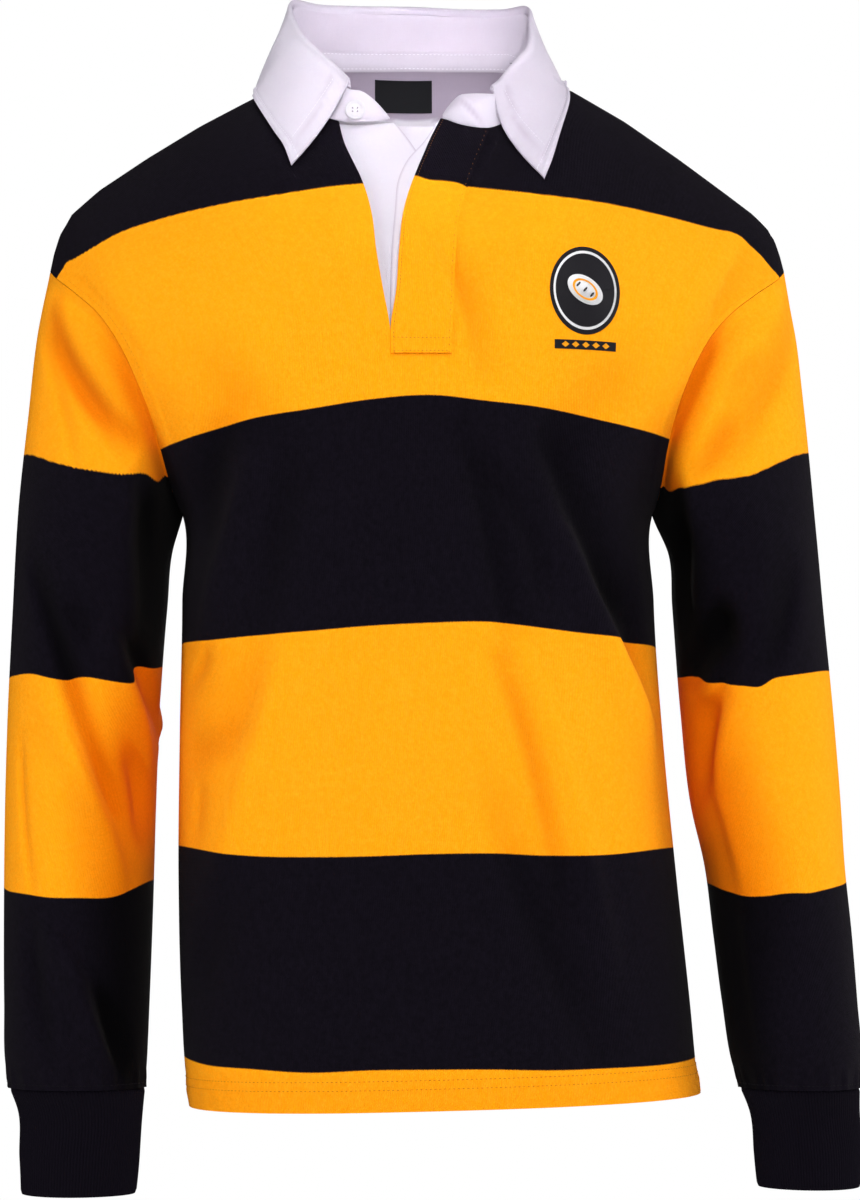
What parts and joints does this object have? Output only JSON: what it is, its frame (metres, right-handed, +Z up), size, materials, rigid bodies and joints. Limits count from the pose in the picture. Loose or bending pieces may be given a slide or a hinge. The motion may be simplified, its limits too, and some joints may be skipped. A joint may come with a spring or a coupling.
{
  "type": "long-sleeve rugby shirt",
  "caption": "Long-sleeve rugby shirt with broad hoops, white turned-down collar, half placket and ribbed cuffs, filled out as worn.",
  "frame": {"origin": "midway between the high points of the shoulders, where the neck seam meets the shoulder seams", "axes": "+Z up, the front faces -Y, +X towards the wearer's left sleeve"},
  "size_m": [0.6216, 0.2702, 0.9006],
  "materials": {
    "jersey": "matte brushed cotton jersey with broad amber and black hoops",
    "rib": "matte black one-by-one rib",
    "drill": "matte white cotton drill",
    "label": "satin black woven label, bare",
    "button": "glossy white"
  },
  "bodies": {
    "root": {"front_panel": "jersey", "back_panel": "jersey", "sleeve_right": "jersey", "sleeve_left": "jersey", "cuff_right": "rib", "cuff_left": "rib", "collar_leaf": "drill", "collar_stand": "drill", "placket_fly": "jersey", "fly_facing": "drill", "placket_underlap": "drill", "half_moon": "drill", "neck_tape": "drill", "neck_label": "label", "collar_button": "button"}
  },
  "joints": []
}
